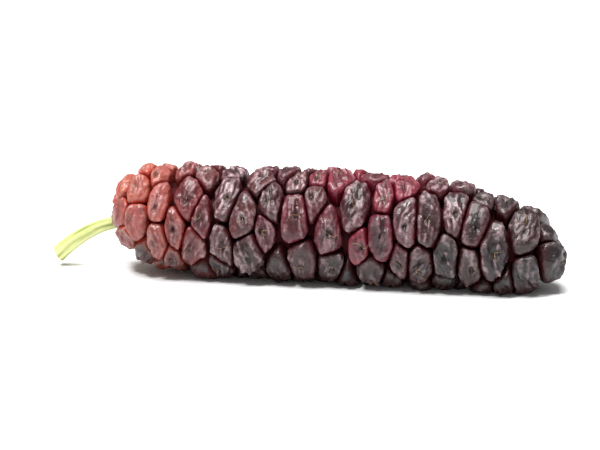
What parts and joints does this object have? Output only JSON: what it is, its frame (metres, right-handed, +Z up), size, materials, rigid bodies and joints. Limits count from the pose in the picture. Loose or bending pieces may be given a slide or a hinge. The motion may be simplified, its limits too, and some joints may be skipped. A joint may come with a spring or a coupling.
{
  "type": "long mulberry with its cut stalk",
  "caption": "Long ripe mulberry lying on its side: tightly packed drupelets on a core, with a short cut green stalk at the neck.",
  "frame": {"origin": "on the surface that the fruit lies on, under the middle of the whole", "axes": "+X along the fruit from its stalk to its tip, +Z up"},
  "size_m": [0.0571, 0.013, 0.0122],
  "materials": {
    "ripe_fruit": "juicy plum-black skin with a satin bloom, red in the creases and coral at the neck",
    "green_stalk": "pale yellow-green, finely ribbed, with a moist cut end"
  },
  "bodies": {
    "root": {"fruit": "ripe_fruit", "stalk": "green_stalk"}
  },
  "joints": []
}
